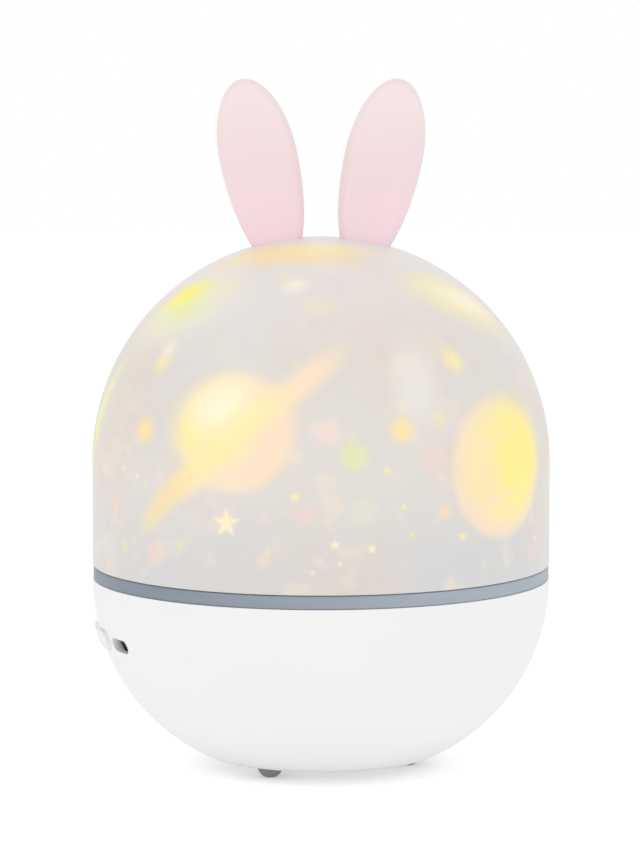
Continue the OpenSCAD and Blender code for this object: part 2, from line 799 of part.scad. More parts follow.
module motor_gearbox() color("beige") at_motor() difference() {
    union() {
        translate([0, 0, can_top]) cylinder(r = gearbox_r, h = gearbox_h);
        for (s = [-1, 1]) translate([0, s * motor_screw_x, gearbox_top - motor_ear_t])
            cylinder(r = motor_ear_r, h = motor_ear_t);
    }
    translate([0, 0, gearbox_top - shaft_sunk]) cylinder(r = shaft_r + shaft_play, h = shaft_sunk + 1);
    for (s = [-1, 1]) translate([0, s * motor_screw_x, gearbox_top - 6])
        cylinder(r = motor_pilot_r, h = 8);
}

module motor_can() color("silver") at_motor() {
    translate([0, 0, can_top - can_h]) cylinder(r = can_d / 2, h = can_h);
    translate([0, 0, can_top - can_h - bearing_h]) cylinder(r = bearing_r, h = bearing_h + 0.2);
    translate([-can_d / 2 - terminal_t, -terminal_w / 2, can_top - can_h + terminal_up])
        cube([terminal_t + 2, terminal_w, terminal_h]);
}

module motor_screws() color("silver") at_motor() {
    for (s = [-1, 1]) translate([0, s * motor_screw_x, well_top - motor_head_sunk])
        screw(motor_screw_r, deck_t + 4, motor_head_r, 1.2);
}

// The round shaft with a flat, for the shaft and for the pinion's bore
module d_section(r, flat) {
    intersection() {
        circle(r = r);
        translate([-2 * r, -2 * r]) square([2 * r + flat, 4 * r]);
    }
}

module output_shaft() color("silver") at_motor() {
    translate([0, 0, gearbox_top - shaft_sunk + 0.1])
        cylinder(r = shaft_r, h = pinion_z - gearbox_top + shaft_sunk - 0.1);
    translate([0, 0, pinion_z - tiny]) linear_extrude(gear_w + tiny) d_section(shaft_r, shaft_flat);
}

module drive_pinion() color("cornsilk") at_motor() {
    turn = 180 + 180 / pinion_teeth;
    translate([0, 0, pinion_z]) linear_extrude(gear_w) difference() {
        rotate([0, 0, turn]) polygon(gear_points(pinion_teeth));
        d_section(shaft_r + 0.03, shaft_flat + 0.03);
    }
}

// ---- Board ----

module board_outline() {
    difference() {
        union() {
            intersection() {
                circle(r = board_r);
                translate([-2 * board_r + board_edge_x, -board_r])
                    square([2 * board_r, 2 * board_r]);
            }
            intersection() {
                circle(r = board_reach);
                polygon([[0, 0], polar(2 * board_r, 180 - board_wing), [-2 * board_r, 0],
                         polar(2 * board_r, 180 + board_wing)]);
            }
        }
        for (a = foot_turns) rotate(a) translate([foot_ring_r, 0]) circle(r = pillar_r + 0.8);
        for (p = board_posts) translate(p) circle(r = board_screw_r + 0.2);
    }
}

module main_board() color("seagreen") in_base() {
    translate([0, 0, board_z]) linear_extrude(board_t) board_outline();
}

module board_screws() color("silver") in_base() {
    for (p = board_posts) translate([p[0], p[1], board_top]) screw(board_screw_r, 6, 2, 1.3);
}

module block(at, size) {
    translate([at[0], at[1], board_top + size[2] / 2]) cube(size, center = true);
}

module board_parts() color("dimgray") in_base() {
    block([-30, 8], [10, 8, 1.6]);
    block([-30, -8], [5, 6, 1.6]);
    block([-20, -6], [7, 7, 3.6]);
    for (y = [18, 24]) translate([-30, y, board_top]) cylinder(r = 2.6, h = 6.5);
    for (k = [0:5]) block([-38 + 2.4 * k, -16], [1.2, 2, 0.6]);
    for (k = [0:5]) block([-38 + 2.4 * k, -21], [1.2, 2, 0.6]);
}

module board_connectors() color("ivory") in_base() {
    for (p = plug_spots) block(p, plug_size);
}

module push_switches() color("black") in_base() {
    for (a = button_turns) at_wall(a) difference() {
        translate([0, board_top - control_z + switch_size[1] / 2, switch_mouth_r - switch_size[2] / 2])
            cube(switch_size, center = true);
        translate([0, 0, switch_mouth_r - switch_bore_l]) cylinder(r = switch_bore_r, h = 10);
    }
}

module usb_socket() color("silver") in_base() at_wall(180 + port_turn)
    translate([0, 0, usb_mouth_r - usb_l]) {
        difference() {
            linear_extrude(usb_l) pill(usb_w, usb_h);
            translate([0, 0, usb_back]) linear_extrude(usb_l)
                pill(usb_w - 2 * usb_wall, usb_h - 2 * usb_wall);
        }
        translate([0, 0, usb_l / 2 - 0.2]) cube([usb_w - 2.2, 0.7, usb_l - 0.8], center = true);
    }

// ---- Buttons ----

module button(k) color("white") in_base() at_wall(button_turns[k]) {
    stem_from = switch_mouth_r - stem_in;
    intersection() {
        translate([0, 0, button_flange_r]) linear_extrude(20) pill(button_w, button_h);
        rotate([0, -90, 0]) rotate([-90, 0, 0]) translate([0, 0, -control_z])
            rotate_extrude() bowl_half(-button_proud, flat_z, rim_z);
    }
    translate([0, 0, button_flange_r]) linear_extrude(button_flange_t)
        pill(button_w + 2 * button_flange, button_h + 2 * button_flange);
    translate([0, 0, stem_from]) cylinder(r = stem_r, h = button_flange_r - stem_from + tiny);
}

module power_button() button(0);
module colour_button() button(1);
module rotation_button() button(2);
module timer_button() button(3);

// ---- Battery and leads ----

module battery_cell() color("steelblue") in_base() translate([cell_x, 0, cell_z]) rotate([90, 0, 0]) {
    cylinder(d = cell_d, h = cell_l, center = true);
    translate([0, 0, -cell_l / 2 - nub_h]) cylinder(r = nub_r, h = nub_h + tiny);
}

module battery_pad() color("gray") in_base() difference() {
    translate([cell_x - pad_size[0] / 2, -pad_size[1] / 2, floor_z])
        cube([pad_size[0], pad_size[1], cell_z - floor_z - cell_d / 4]);
    translate([cell_x, 0, cell_z]) rotate([90, 0, 0]) cylinder(d = cell_d, h = cell_l, center = true);
}

// Two leads side by side: the step from one to the other turns from first to last along the route
module lead_pair(route, first, last) {
    n = len(route) - 1;
    for (s = [-0.5, 0.5])
        lead([for (i = [0:n]) route[i] + s * lead_step * unit(first + (last - first) * i / n)], lead_d / 2);
}

module battery_leads() color("firebrick") in_base() {
    end_y = -cell_l / 2;
    lead_pair([[cell_x, end_y, cell_z], [cell_x, end_y - 2.5, cell_z + 0.6], [cell_x, -39.5, 23],
               [cell_x, -40, 30], [cell_x, -36.5, 37], [5, -29, 40.8], [1, -20, 41], [-3, -14, 40.4],
               [-5, -12.5, plug_wire_z], [plug_face_x, -12.5, plug_wire_z]], [1, 0, 0], [0, 1, 0]);
}

module motor_leads() color("navy") in_base() {
    from = motor_turn + 180;
    root = [for (r = [0, 3]) concat(polar(shaft_r0, motor_turn) + polar(can_d / 2 + terminal_t + r, from),
                                    [can_top - can_h + terminal_up + terminal_h / 2])];
    lead_pair([root[0], root[1] + [0, 0, 0.3], [9.5, 11.5, 36.2], [5, 9.4, 40], [0, 8.5, 40.6],
               [-4.5, 8.5, plug_wire_z], [plug_face_x, 8.5, plug_wire_z]],
              concat(polar(1, from - 90), [0]), [0, 1, 0]);
}

module led_leads() color("darkorange") in_base() {
    lead_pair([[0, 0, lamp_z + 0.5], [0, 0, lamp_z - 10], [0, 0, boss_top], [0, 0, well_z + 3],
               [0.2, -0.4, well_z - 3], [-0.6, -1.6, 43], [-2.6, -2.2, 40.6],
               [-5, -2.2, plug_wire_z], [plug_face_x, -2.2, plug_wire_z]], [0, 1, 0], [0, 1, 0]);
}

bowl_shell();
trim_ring();
top_deck();
rubber_feet();
case_screws();
dome_cover();
left_ear();
right_ear();
turntable();
inner_film_dome();
projection_film();
outer_film_dome();
led_post();
post_screws();
led_board();
led_chips();
led_lens();
lens_screws();
motor_gearbox();
motor_can();
motor_screws();
output_shaft();
drive_pinion();
main_board();
board_screws();
board_parts();
board_connectors();
push_switches();
usb_socket();
power_button();
colour_button();
rotation_button();
timer_button();
battery_cell();
battery_pad();
battery_leads();
motor_leads();
led_leads();
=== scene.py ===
"""Star night light projector with rabbit ears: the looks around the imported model.

Metres. +Z is up, the front of the lamp faces -Y, and the lamp's axis is the Z axis.
"""
import json
import math

import bpy
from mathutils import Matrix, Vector

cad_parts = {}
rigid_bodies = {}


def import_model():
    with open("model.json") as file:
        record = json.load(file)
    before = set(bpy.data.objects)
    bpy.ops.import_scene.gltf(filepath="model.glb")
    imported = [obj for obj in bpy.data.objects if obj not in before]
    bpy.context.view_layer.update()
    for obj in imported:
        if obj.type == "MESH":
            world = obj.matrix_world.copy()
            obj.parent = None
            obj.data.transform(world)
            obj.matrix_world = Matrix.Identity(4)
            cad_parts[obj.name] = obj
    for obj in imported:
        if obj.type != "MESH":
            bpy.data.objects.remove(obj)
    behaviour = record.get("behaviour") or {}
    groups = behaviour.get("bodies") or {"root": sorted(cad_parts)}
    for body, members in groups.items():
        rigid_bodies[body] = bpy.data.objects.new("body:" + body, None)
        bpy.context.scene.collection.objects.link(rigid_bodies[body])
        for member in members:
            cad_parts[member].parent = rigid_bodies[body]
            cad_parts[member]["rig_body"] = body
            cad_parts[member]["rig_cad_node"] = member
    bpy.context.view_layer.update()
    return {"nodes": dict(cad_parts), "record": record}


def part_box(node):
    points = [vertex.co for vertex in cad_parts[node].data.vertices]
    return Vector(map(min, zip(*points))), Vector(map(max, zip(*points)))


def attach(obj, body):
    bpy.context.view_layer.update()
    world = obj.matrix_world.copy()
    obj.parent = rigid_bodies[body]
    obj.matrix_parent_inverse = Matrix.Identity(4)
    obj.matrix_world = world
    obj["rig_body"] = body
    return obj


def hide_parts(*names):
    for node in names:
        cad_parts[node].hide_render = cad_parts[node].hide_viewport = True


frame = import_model()
bpy.ops.object.select_all(action="DESELECT")

MM = 0.001

# ---- Camera, light and floor ----

CAMERA_AT = (-0.0003, -1.2, 0.2301)
CAMERA_DOWN = 6.33          # degrees below level
CAMERA_LENS = 179.26        # on a 36 mm sensor
AMBIENT = 0.82              # what the world gives to dull surfaces; seen directly it is white
FLOOR_RADIUS = 2.4
FLOOR_BOUNCE = 0.86
FLOOR_GLOW = 0.22           # lifts the underside of the bowl
FLOOR_SEEN = 0.34           # the same, as the camera sees it: the lit floor is white


def set_camera():
    data = bpy.data.cameras.new("camera")
    data.lens = CAMERA_LENS
    data.sensor_width = 36
    data.clip_end = 30
    camera = bpy.data.objects.new("camera", data)
    camera.location = CAMERA_AT
    camera.rotation_euler = (math.radians(90 - CAMERA_DOWN), 0, 0)
    bpy.context.scene.collection.objects.link(camera)
    bpy.context.scene.camera = camera


def soft_light(name, at, size, power):
    """A rectangular area light that faces the middle of the lamp."""
    data = bpy.data.lights.new(name, "AREA")
    data.shape = "RECTANGLE"
    data.size, data.size_y = size
    data.energy = power
    light = bpy.data.objects.new(name, data)
    light.location = at
    middle = Vector((0, 0, 0.09))
    light.rotation_euler = (middle - Vector(at)).to_track_quat("-Z", "Y").to_euler()
    bpy.context.scene.collection.objects.link(light)


# ---- Node helpers ----

def srgb(red, green, blue):
    """A colour read off a screen, from 0 to 255, as the linear colour that a node takes."""
    def linear(value):
        share = value / 255
        return share / 12.92 if share <= 0.04045 else ((share + 0.055) / 1.055) ** 2.4
    return (linear(red), linear(green), linear(blue), 1)


def fill(tree, socket, value):
    """Links an input to a socket, or sets it to a plain value; None leaves it as it is."""
    if isinstance(value, bpy.types.NodeSocket):
        tree.links.new(value, socket)
    elif value is not None:
        socket.default_value = value


def add_node(tree, kind, *values, **settings):
    """Adds a node with its settings and fills its inputs in order."""
    node = tree.nodes.new(kind)
    for name, value in settings.items():
        setattr(node, name, value)
    for socket, value in zip(node.inputs, values):
        fill(tree, socket, value)
    return node


def maths(tree, operation, *values):
    return add_node(tree, "ShaderNodeMath", *values, operation=operation).outputs[0]


def vectors(tree, operation, *values):
    node = add_node(tree, "ShaderNodeVectorMath", *values, operation=operation)
    return node.outputs["Value" if operation in ("DOT_PRODUCT", "DISTANCE", "LENGTH") else "Vector"]


def scaled(tree, vector, factor):
    node = tree.nodes.new("ShaderNodeVectorMath")
    node.operation = "SCALE"
    fill(tree, node.inputs["Vector"], vector)
    fill(tree, node.inputs["Scale"], factor)
    return node.outputs["Vector"]


def spread(tree, value, low, high, to_low=0.0, to_high=1.0):
    """Maps a value smoothly from between low and high to between to_low and to_high."""
    node = add_node(tree, "ShaderNodeMapRange", value, low, high, to_low, to_high,
                    interpolation_type="SMOOTHSTEP")
    return node.outputs[0]


def mixed(tree, factor, first, second):
    node = add_node(tree, "ShaderNodeMix", data_type="RGBA")
    fill(tree, node.inputs[0], factor)
    fill(tree, node.inputs[6], first)
    fill(tree, node.inputs[7], second)
    return node.outputs[2]


def node_group(name, inputs, outputs):
    """A node group with named sockets: the group, what it is given and where its results go."""
    group = bpy.data.node_groups.new(name, "ShaderNodeTree")
    for label, kind in inputs:
        group.interface.new_socket(label, in_out="INPUT", socket_type="NodeSocket" + kind)
    for label, kind in outputs:
        group.interface.new_socket(label, in_out="OUTPUT", socket_type="NodeSocket" + kind)
    given = group.nodes.new("NodeGroupInput").outputs
    return group, given, group.nodes.new("NodeGroupOutput").inputs


def use_group(tree, group, **values):
    node = tree.nodes.new("ShaderNodeGroup")
    node.node_tree = group
    for label, value in values.items():
        fill(tree, node.inputs[label], value)
    return node.outputs


def object_place(tree):
    return tree.nodes.new("ShaderNodeTexCoord").outputs["Object"]


# ---- Shared effects ----

NOISE_RANGE = (0.3, 0.7)    # nearly all the values of a noise lie in it
GRAIN_SWELL = 0.12          # scale of the grain's broad swell, against the fine grain's
SWELL_HEIGHT = 1.5          # and its height
HANDLED = 0.12              # share by which a plain finish's roughness wanders either way


def make_mottle():
    """A faint unevenness of a colour."""
    group, given, result = node_group(
        "mottle",
        [("Place", "Vector"), ("Scale", "Float"), ("Amount", "Float"), ("Colour", "Color")],
        [("Colour", "Color")])
    noise = add_node(group, "ShaderNodeTexNoise", given["Place"], None, given["Scale"], 3.0)
    shift = maths(group, "SUBTRACT", noise.outputs[0], 0.5)
    level = maths(group, "MULTIPLY_ADD", shift, given["Amount"], 1.0)
    group.links.new(scaled(group, given["Colour"], level), result["Colour"])
    return group


def make_smudge():
    """A roughness that wanders between two values, as that of handled surfaces does."""
    group, given, result = node_group(
        "smudge",
        [("Place", "Vector"), ("Scale", "Float"), ("Least", "Float"), ("Most", "Float")],
        [("Roughness", "Float")])
    noise = add_node(group, "ShaderNodeTexNoise", given["Place"], None, given["Scale"], 2.0)
    wander = spread(group, noise.outputs[0], *NOISE_RANGE, given["Least"], given["Most"])
    group.links.new(wander, result["Roughness"])
    return group


def make_grain():
    """The fine texture that a mould leaves on plastic, on a broad swell."""
    group, given, result = node_group(
        "grain", [("Place", "Vector"), ("Scale", "Float")], [("Height", "Float")])
    fine = add_node(group, "ShaderNodeTexNoise", given["Place"], None, given["Scale"], 2.0)
    coarse = maths(group, "MULTIPLY", given["Scale"], GRAIN_SWELL)
    broad = add_node(group, "ShaderNodeTexNoise", given["Place"], None, coarse, 1.0)
    group.links.new(maths(group, "MULTIPLY_ADD", broad.outputs[0], SWELL_HEIGHT, fine.outputs[0]),
                    result["Height"])
    return group


mottle = make_mottle()
smudge = make_smudge()
grain = make_grain()


def new_material(name):
    material = bpy.data.materials.new(name)
    material.use_nodes = True
    tree = material.node_tree
    return material, tree, tree.nodes["Principled BSDF"]


def mottled(tree, place, scale, amount, colour):
    return use_group(tree, mottle, Place=place, Scale=scale, Amount=amount, Colour=colour)["Colour"]


def coloured(tree, shader, colour):
    tree.links.new(colour, shader.inputs["Base Color"])


def glossed(tree, shader, place, scale, least, most):
    gloss = use_group(tree, smudge, Place=place, Scale=scale, Least=least, Most=most)
    tree.links.new(gloss["Roughness"], shader.inputs["Roughness"])


def textured(tree, shader, depth, scale):
    """Gives a shader the mould's grain as a bump of the given depth in metres."""
    height = use_group(tree, grain, Place=object_place(tree), Scale=scale)["Height"]
    bump = tree.nodes.new("ShaderNodeBump")
    bump.inputs["Distance"].default_value = depth
    bump.inputs["Strength"].default_value = 0.5
    tree.links.new(height, bump.inputs["Height"])
    tree.links.new(bump.outputs["Normal"], shader.inputs["Normal"])


def finish(name, colour, roughness, uneven=0.02, grain_depth=0.02 * MM, grain_scale=2500.0,
           patch_scale=60.0, metallic=0.0, coat=0.0, sheen=0.0, clear=0.0):
    """A plain finish with its faint unevenness, its handled gloss and its grain."""
    material, tree, shader = new_material(name)
    place = object_place(tree)
    coloured(tree, shader, mottled(tree, place, patch_scale, uneven, srgb(*colour)))
    glossed(tree, shader, place, patch_scale, roughness * (1 - HANDLED),
            min(1.0, roughness * (1 + HANDLED)))
    shader.inputs["Metallic"].default_value = metallic
    shader.inputs["Coat Weight"].default_value = coat
    shader.inputs["Sheen Weight"].default_value = sheen
    shader.inputs["Transmission Weight"].default_value = clear
    if grain_depth:
        textured(tree, shader, grain_depth, grain_scale)
    return material


# ---- The lamp's main sizes ----

cover_low, cover_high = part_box("dome_cover")
ring_low, ring_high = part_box("trim_ring")
bowl_low, bowl_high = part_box("bowl_shell")
lens_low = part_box("led_lens")[0]
feet_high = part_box("rubber_feet")[1]

BODY_RADIUS = cover_high.x
COVER_WALL = 2 * MM
CROWN_HEIGHT = 63.6 * MM
CROWN_EASE = 0.2 * MM
CROWN_SHORT = 1.4 * MM      # a crown's arcs rise this much less than the dome's radius at most
CROWN_CAP = 2 * MM          # the cap is looked for only this far below the cover's top
LAMP = Vector((0, 0, lens_low.z + 4 * MM))  # where the light comes from: inside the lens


def crown(radius, top, height, ease):
    """The two arcs of a dome: its shoulder's centre and radius, and its cap's."""
    rise = min(height, radius - CROWN_SHORT)
    side = rise - ease
    cap = (radius - side) ** 2 / (2 * (rise - side)) + (rise + side) / 2
    return (radius - side, top - rise), side, (0, top - cap), cap


def crown_outline(radius, top, height, ease, inset, steps=(44, 16)):
    """Points of a dome's outline, drawn in by inset, from the foot of its shoulder to its pole."""
    side_at, side, cap_at, cap = crown(radius, top, height, ease)
    turn = math.atan2(side_at[1] - cap_at[1], side_at[0] - cap_at[0])
    rest = math.pi / 2 - turn

    def arc(centre, radius, angles):
        return [(centre[0] + (radius - inset) * math.cos(angle),
                 centre[1] + (radius - inset) * math.sin(angle)) for angle in angles]

    shoulder = arc(side_at, side, [turn * k / steps[0] for k in range(steps[0] + 1)])
    return shoulder + arc(cap_at, cap, [turn + rest * k / steps[1] for k in range(1, steps[1] + 1)])


def cover_point(azimuth, height):
    """A point on the cover's outer face: degrees to the right of the front, and millimetres up."""
    z = height * MM
    side_at, side, cap_at, cap = crown(BODY_RADIUS, cover_high.z, CROWN_HEIGHT, CROWN_EASE)
    radius = BODY_RADIUS
    if z > side_at[1]:
        radius = side_at[0] + math.sqrt(max(0, side ** 2 - (z - side_at[1]) ** 2))
    if z > cover_high.z - CROWN_CAP:
        radius = min(radius, math.sqrt(max(0, cap ** 2 - (z - cap_at[1]) ** 2)))
    turn = math.radians(azimuth)
    return Vector((radius * math.sin(turn), -radius * math.cos(turn), z))


# ---- The night sky: painted light where the lamp throws it on the cover, and the film's print ----

TINTS = {
    "sun": srgb(255, 239, 164), "cream": srgb(255, 246, 223), "peach": srgb(251, 222, 194),
    "amber": srgb(254, 226, 160), "lime": srgb(232, 241, 150), "mint": srgb(224, 234, 206),
    "rose": srgb(248, 212, 198), "blush": srgb(245, 220, 210), "star": srgb(254, 239, 198),
    "lemon": srgb(255, 246, 96), "apricot": srgb(253, 229, 196), "halo": srgb(246, 240, 214),
    # the tint of the painted softbox reflection
    "painted_reflection": srgb(243, 239, 235),
}


SPOT_SOFTNESS = 1.8         # how soft a spot's edge is, in millimetres
STAR_SOFTNESS = 0.7         # and a star's
STAR_SOFTER = 0.22          # how much softer it gets with each millimetre of its radius
STAR_NOTCH = 0.45           # radius of a star's notches, against its points'
SHAPE_INPUTS = [
    ("Direction", "Vector"), ("Centre", "Vector"), ("Right", "Vector"), ("Size", "Float"),
    ("Softness", "Float"), ("Strength", "Float"), ("Tint", "Color"), ("Below", "Color"),
    ("Glow Below", "Float"),
]
SKY_OUTPUTS = [("Colour", "Color"), ("Glow", "Float")]


def lay_over(group, given, result, reach, limit):
    """Lays a shape's tint over what is below it, where reach is within the limit."""
    outer = maths(group, "ADD", limit, given["Softness"])
    inner = maths(group, "SUBTRACT", limit, given["Softness"])
    share = maths(group, "MULTIPLY", spread(group, reach, outer, inner), given["Strength"])
    group.links.new(mixed(group, share, given["Below"], given["Tint"]), result["Colour"])
    group.links.new(maths(group, "MAXIMUM", share, given["Glow Below"]), result["Glow"])


def make_motif():
    """One soft oval of colour, with its length to the right.

    Directions are those from the lamp. Squeeze is 0 for a round spot and near 1 for a long one."""
    group, given, result = node_group("motif", SHAPE_INPUTS + [("Squeeze", "Float")], SKY_OUTPUTS)
    apart = vectors(group, "SUBTRACT", given["Direction"], given["Centre"])
    along = vectors(group, "DOT_PRODUCT", apart, given["Right"])
    square = vectors(group, "DOT_PRODUCT", apart, apart)
    eased = maths(group, "MULTIPLY", maths(group, "MULTIPLY", along, along), given["Squeeze"])
    left = maths(group, "MAXIMUM", maths(group, "SUBTRACT", square, eased), 0.0)
    lay_over(group, given, result, maths(group, "SQRT", left), given["Size"])
    return group


def make_five_star():
    """One five-pointed star with straight edges and a point upwards."""
    group, given, result = node_group("five_star", SHAPE_INPUTS + [("Up", "Vector")], SKY_OUTPUTS)
    apart = vectors(group, "SUBTRACT", given["Direction"], given["Centre"])
    right = vectors(group, "DOT_PRODUCT", apart, given["Right"])
    up = vectors(group, "DOT_PRODUCT", apart, given["Up"])
    half_turn = math.pi / 5  # from a point to the notch beside it
    tooth = maths(group, "PINGPONG", maths(group, "ARCTAN2", right, up), half_turn)
    reach = maths(group, "SQRT", vectors(group, "DOT_PRODUCT", apart, apart))
    away = 1 - STAR_NOTCH * math.cos(half_turn)
    rise = STAR_NOTCH * math.sin(half_turn)
    slant = maths(group, "SINE", maths(group, "ADD", tooth, math.atan2(rise, away)))
    edge = maths(group, "DIVIDE", rise / math.hypot(away, rise), slant)
    lay_over(group, given, result, reach, maths(group, "MULTIPLY", edge, given["Size"]))
    return group


# Ovals: degrees round, millimetres up, half length, half width, tilt, tint, strength, edge softness
OVALS = [
    # the ringed planet: its body, then its light side, a painted reflection that makes its upper
    # left pale, and its warm side, then the parts of its ring
    (-22.2, 101.8, 16.4, 16.4, 0, "apricot", 0.85, 2.0),
    (-27.5, 103.5, 12.5, 11.0, 30, "sun", 0.90, 4.0),
    (-27.0, 108.5, 8.0, 6.0, 20, "cream", 0.70, 3.4),
    (-12.5, 98.0, 10.0, 5.5, 60, "peach", 0.60, 3.0),
    (-22.5, 100.0, 41.0, 5.0, 43, "apricot", 0.75, 2.2),
    (-3.5, 116.5, 11.0, 3.4, 43, "apricot", 0.80, 1.8),
    (-24.0, 99.0, 26.0, 3.6, 43, "sun", 0.75, 2.4),
    (-41.0, 82.5, 12.0, 3.4, 46, "amber", 0.65, 2.2),
    # the banded planet at the right: a pale outline, the body, its bright side and two bands
    (50.5, 90.2, 19.2, 19.2, 0, "apricot", 0.75, 1.8),
    (52.0, 91.0, 16.5, 16.5, 0, "sun", 0.75, 3.4),
    (57.5, 93.0, 13.5, 11.5, 80, "lemon", 0.50, 5.0),
    (43.5, 85.0, 9.0, 6.0, 70, "peach", 0.30, 3.5),
    (47.0, 81.5, 14.0, 1.3, 12, "apricot", 0.50, 1.2),
    (47.5, 97.5, 14.5, 1.1, 12, "apricot", 0.40, 1.2),
    # soft clouds of light high on the dome, and a painted reflection of a softbox in front
    (26.0, 116.0, 10.5, 6.0, 84, "painted_reflection", 0.45, 3.0),
    (-57.0, 134.0, 16.0, 11.0, 32, "halo", 0.70, 4.5),
    (-59.0, 134.0, 11.0, 7.4, 32, "lime", 0.45, 4.0),
    (-63.0, 136.0, 6.4, 4.4, 40, "lemon", 0.95, 2.2),
    (-54.0, 131.8, 3.6, 2.6, 10, "lime", 0.50, 1.8),
    (61.0, 135.0, 15.0, 8.0, -34, "sun", 0.70, 3.4),
    (64.5, 134.5, 9.5, 4.6, -34, "cream", 0.80, 2.4),
    (-30.0, 147.6, 21.0, 7.0, 8, "amber", 0.75, 3.0),
    (4.0, 148.8, 14.0, 5.0, 0, "sun", 0.60, 2.6),
    (-77.5, 104.0, 15.0, 3.6, 72, "lime", 0.60, 1.8),
    (-79.0, 97.0, 7.0, 1.8, 80, "lemon", 0.45, 1.4),
]

# Spots: degrees round, millimetres up, radius, tint, strength
SPOTS = [
    (-11.2, 140.1, 2.4, "cream", 0.77), (-18.0, 142.0, 1.8, "apricot", 0.38),
    (1.4, 134.4, 2.8, "apricot", 0.38), (19.0, 140.8, 3.0, "blush", 0.42),
    (13.5, 137.6, 2.0, "blush", 0.30), (39.8, 120.1, 2.7, "sun", 0.80),
    (-50.2, 118.9, 2.6, "sun", 0.68), (-50.0, 122.5, 1.7, "cream", 0.77),
    (-64.8, 119.5, 1.9, "rose", 0.42), (-49.4, 100.6, 3.0, "amber", 0.90),
    (-58.0, 106.5, 1.9, "blush", 0.38), (8.1, 95.8, 3.6, "lime", 0.51),
    (20.3, 102.6, 3.1, "amber", 0.85), (1.4, 102.2, 3.9, "blush", 0.55),
    (28.0, 94.2, 3.9, "rose", 0.34), (-3.8, 80.2, 2.8, "rose", 0.34),
    (10.0, 80.9, 3.9, "mint", 0.34), (-44.5, 67.2, 3.2, "rose", 0.55),
    (-61.6, 78.5, 2.4, "rose", 0.51), (-69.6, 90.1, 2.0, "rose", 0.42),
    (31.2, 79.8, 1.7, "amber", 0.59), (-14.0, 67.4, 2.0, "apricot", 0.34),
    (70.2, 110.9, 2.0, "rose", 0.42), (31.4, 104.0, 1.6, "amber", 0.38),
    (-36.0, 70.0, 1.2, "sun", 0.30), (-56.5, 67.5, 1.4, "lime", 0.38),
    (64.0, 64.8, 2.0, "rose", 0.42), (30.2, 105.6, 1.0, "sun", 0.42),
]

# Stars: degrees round, millimetres up, radius, tint, strength
STARS = [
    (-23.3, 77.3, 3.9, "star", 0.92), (-6.2, 85.0, 1.4, "sun", 0.81),
    (3.3, 72.0, 1.4, "star", 0.90), (12.2, 70.7, 1.3, "star", 0.90),
    (4.5, 66.8, 0.9, "star", 0.76), (22.2, 74.1, 1.0, "lime", 0.66),
    (15.9, 92.0, 1.0, "sun", 0.76), (20.2, 81.9, 1.0, "sun", 0.76),
    (36.5, 72.6, 1.4, "sun", 0.76), (-51.1, 87.8, 1.0, "star", 0.71),
    (-57.0, 89.5, 1.0, "star", 0.62), (-12.8, 69.7, 1.5, "apricot", 0.47),
    (-2.0, 64.4, 0.9, "star", 0.57), (66.7, 68.5, 1.4, "amber", 0.71),
]


def make_night_sky():
    """All the shapes, in front and once more behind: their colour, and where they glow.

    Blur widens every edge, as the gap between the film and the cover does."""
    group, given, result = node_group(
        "night_sky", [("Place", "Vector"), ("Blur", "Float"), ("Ground", "Color")], SKY_OUTPUTS)
    parts = add_node(group, "ShaderNodeSeparateXYZ", given["Place"]).outputs
    behind = maths(group, "GREATER_THAN", parts[1], 0.0)
    turned_over = maths(group, "MULTIPLY_ADD", behind, -2.0, 1.0)
    across, ahead = [maths(group, "MULTIPLY", part, turned_over) for part in parts[:2]]
    above = maths(group, "SUBTRACT", parts[2], LAMP.z)
    folded = add_node(group, "ShaderNodeCombineXYZ", across, ahead, above).outputs[0]
    direction = vectors(group, "NORMALIZE", folded)
    motif = make_motif()
    five_star = make_five_star()
    colour, glow = given["Ground"], 0.0

    def axes(azimuth, height):
        """Of a place on the cover: its direction from the lamp, right, up, and how far it is."""
        point = cover_point(azimuth, height) - LAMP
        right = Vector((math.cos(math.radians(azimuth)), math.sin(math.radians(azimuth)), 0))
        centre = point.normalized()
        return centre, right, centre.cross(right).normalized(), point.length

    def lay(shape, centre, right, far, size, softness, tint, strength, **more):
        """Lays one shape over the sky so far; size and softness are millimetres on the cover."""
        edge = maths(group, "MULTIPLY", given["Blur"], softness * MM / far)
        return use_group(
            group, shape, Direction=direction, Centre=centre, Right=right, Size=size * MM / far,
            Softness=edge, Strength=strength, Tint=TINTS[tint], Below=colour,
            **{"Glow Below": glow}, **more)

    for azimuth, height, length, width, tilt, tint, strength, softness in OVALS:
        centre, right, up, far = axes(azimuth, height)
        along = right * math.cos(math.radians(tilt)) + up * math.sin(math.radians(tilt))
        colour, glow = lay(motif, centre, along, far, width, softness, tint, strength,
                           Squeeze=1 - (width / length) ** 2)
    for azimuth, height, radius, tint, strength in SPOTS:
        centre, right, _, far = axes(azimuth, height)
        colour, glow = lay(motif, centre, right, far, radius, SPOT_SOFTNESS, tint, strength,
                           Squeeze=0.0)
    for azimuth, height, radius, tint, strength in STARS:
        centre, right, up, far = axes(azimuth, height)
        colour, glow = lay(five_star, centre, right, far, radius,
                           STAR_SOFTNESS + STAR_SOFTER * radius, tint, strength, Up=up)
    group.links.new(colour, result["Colour"])
    group.links.new(glow, result["Glow"])
    return group


night_sky = make_night_sky()


# ---- Materials ----

PAINTED_SHADE_LOW = (0.062, 0.090)  # heights between which the cover's ground turns to its middle tone, painted shading that is lighter upwards
PAINTED_SHADE_HIGH = (0.110, 0.145)  # and to its high one, painted lighter still
# Strengths of the painted glow: emission on the cover's and the film's shapes that stands in for
# the lamp's light
COVER_PAINTED_GLOW = 0.04
FILM_PAINTED_GLOW = 0.5
EAR_MIDDLE = (0.148, 0.173)  # the same for the ears
EAR_TIPS = (0.169, 0.195)
PORT_BRIGHT = 0.15 * MM     # how far in the socket's mouth starts to darken
PORT_DARK = 0.9 * MM        # and where it is dark


def height_in(tree, place):
    return add_node(tree, "ShaderNodeSeparateXYZ", place).outputs[2]


